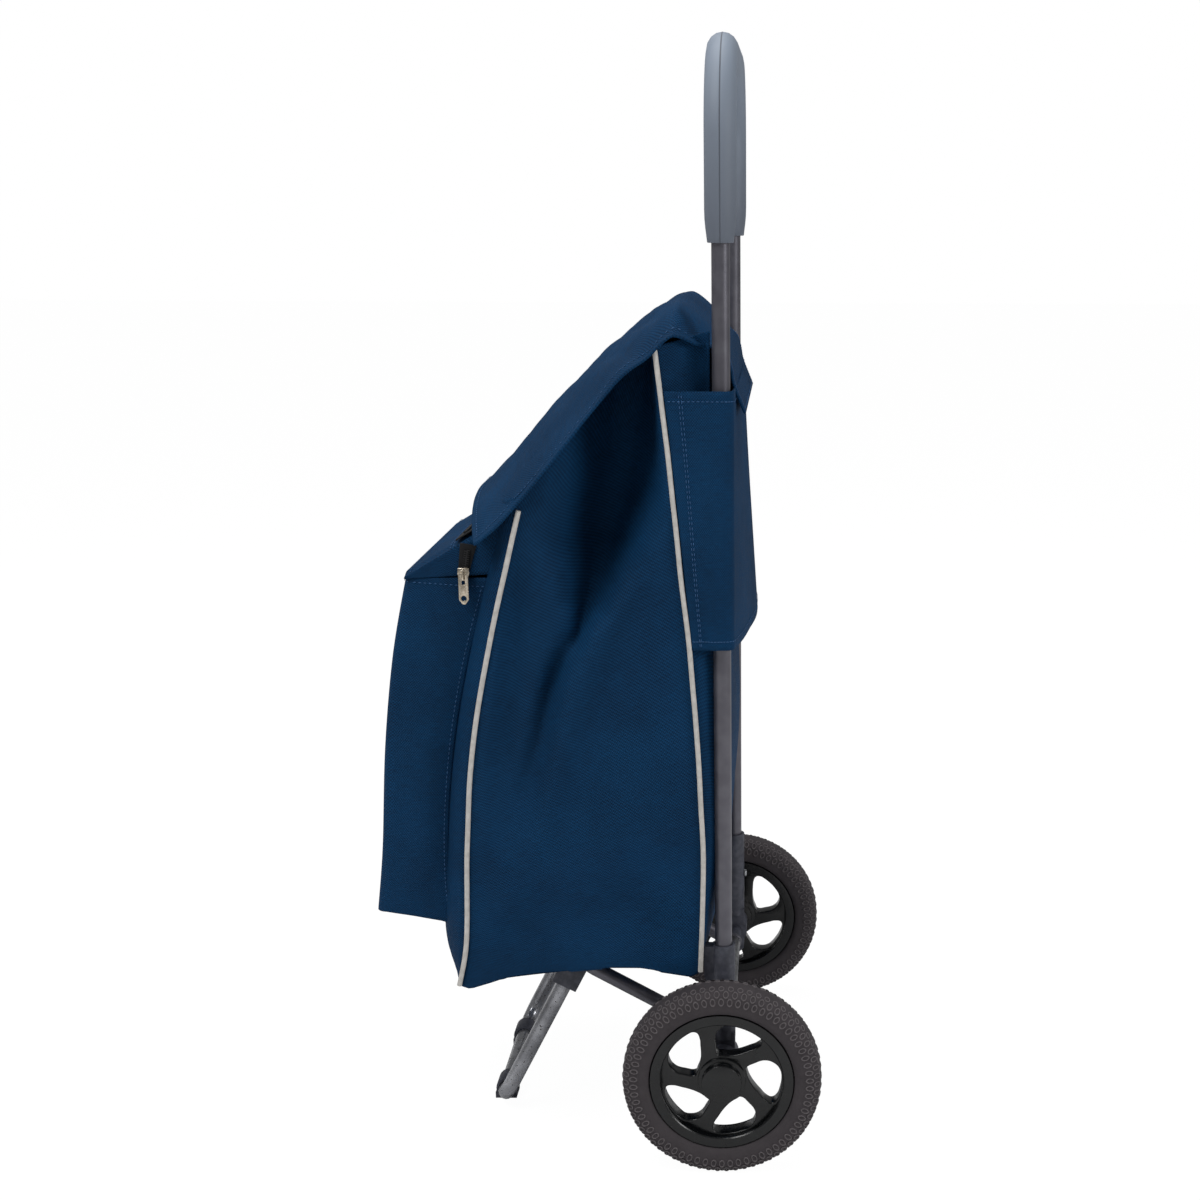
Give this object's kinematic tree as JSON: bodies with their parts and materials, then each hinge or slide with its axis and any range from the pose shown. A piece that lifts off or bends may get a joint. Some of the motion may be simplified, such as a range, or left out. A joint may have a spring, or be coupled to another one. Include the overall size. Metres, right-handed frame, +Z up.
{
  "type": "shopping trolley",
  "caption": "Two-wheeled shopping trolley: bent tube handle with grip, hanging fabric bag with flap and zipped front pocket, spoked rims and a folding front stand.",
  "frame": {"origin": "on the floor, below the middle of the trolley's overall box", "axes": "+Z up, +Y towards the back (the handle side), -Y the front (the pocket side), +X the trolley's right side along the axle"},
  "size_m": [0.42, 0.3976, 0.962],
  "materials": {
    "frame_tube": "satin grey paint",
    "leg_tube": "smooth silver-grey lacquer",
    "grip": "soft grey-blue moulding",
    "slate_plastic": "fine matt moulding",
    "hardware": "zinc plated",
    "tyre": "moulded tread",
    "rim": "glossy",
    "canvas": "woven oxford cloth",
    "bag_board": "stiff plastic sheet",
    "piping": "smooth vinyl cord",
    "zip_tape": "woven tape with moulded teeth",
    "zip_metal": "nickel plated"
  },
  "bodies": {
    "frame": {"handle_tube": "frame_tube", "hang_bar": "frame_tube", "handle_grip": "grip", "bracket_left": "slate_plastic", "bracket_right": "slate_plastic", "axle_spacer_left": "slate_plastic", "axle_spacer_right": "slate_plastic", "axle": "hardware", "axle_sleeve": "hardware", "axle_washer_left": "hardware", "axle_washer_right": "hardware", "axle_nut_left": "hardware", "axle_nut_right": "hardware", "bracket_screw_left": "hardware", "bracket_screw_right": "hardware", "bag_shell": "canvas", "pocket": "canvas", "pocket_top": "canvas", "flap_tail": "canvas", "sleeve": "canvas", "bottom_board": "bag_board", "piping_front_left": "piping", "piping_front_right": "piping", "piping_rear_left": "piping", "piping_rear_right": "piping", "zip_tape_top": "zip_tape", "zip_tape_end": "zip_tape"},
    "wheel_left": {"tyre_left": "tyre", "rim_left": "rim", "wheel_bush_left": "slate_plastic", "hub_cap_left": "rim"},
    "wheel_right": {"tyre_right": "tyre", "rim_right": "rim", "wheel_bush_right": "slate_plastic", "hub_cap_right": "rim"},
    "stand": {"strut_frame": "frame_tube"},
    "leg": {"leg_tube": "leg_tube", "pivot_block_left": "slate_plastic", "pivot_block_right": "slate_plastic", "foot_left": "slate_plastic", "foot_right": "slate_plastic"},
    "flap": {"flap": "canvas"},
    "zip_slider": {"zip_slider": "zip_metal"},
    "zip_pull": {"zip_pull": "zip_metal"}
  },
  "joints": [
    {"name": "wheel_left_spin", "type": "hinge", "parent": "frame", "child": "wheel_left", "pos_m": [-0.19275, 0.11125, 0.0875], "axis": [1, 0, 0], "continuous": true},
    {"name": "wheel_right_spin", "type": "hinge", "parent": "frame", "child": "wheel_right", "pos_m": [0.19275, 0.11125, 0.0875], "axis": [1, 0, 0], "continuous": true},
    {"name": "stand_fold", "type": "hinge", "parent": "frame", "child": "stand", "pos_m": [0, 0.11125, 0.0875], "axis": [-1, 0, 0], "range_deg": [0, 55], "deforming": ["bag_shell", "bottom_board"]},
    {"name": "leg_fold", "type": "hinge", "parent": "stand", "child": "leg", "pos_m": [0, -0.02172, 0.16197], "axis": [1, 0, 0], "range_deg": [0, 80]},
    {"name": "flap_open", "type": "hinge", "parent": "frame", "child": "flap", "pos_m": [0, 0.07555, 0.7412], "axis": [-1, 0, 0], "range_deg": [0, 125]},
    {"name": "zip_slide", "type": "slide", "parent": "frame", "child": "zip_slider", "axis": [0, 0.1718, 0.9851], "range_m": [0, 0.018]},
    {"name": "zip_pull_swing", "type": "hinge", "parent": "zip_slider", "child": "zip_pull", "pos_m": [0.1426, -0.10761, 0.5246], "axis": [0, -1, 0], "range_deg": [0, 95]}
  ],
  "couplings": [
    {"joint": "leg_fold", "follows": "stand_fold", "ratio": 1.4545}
  ]
}
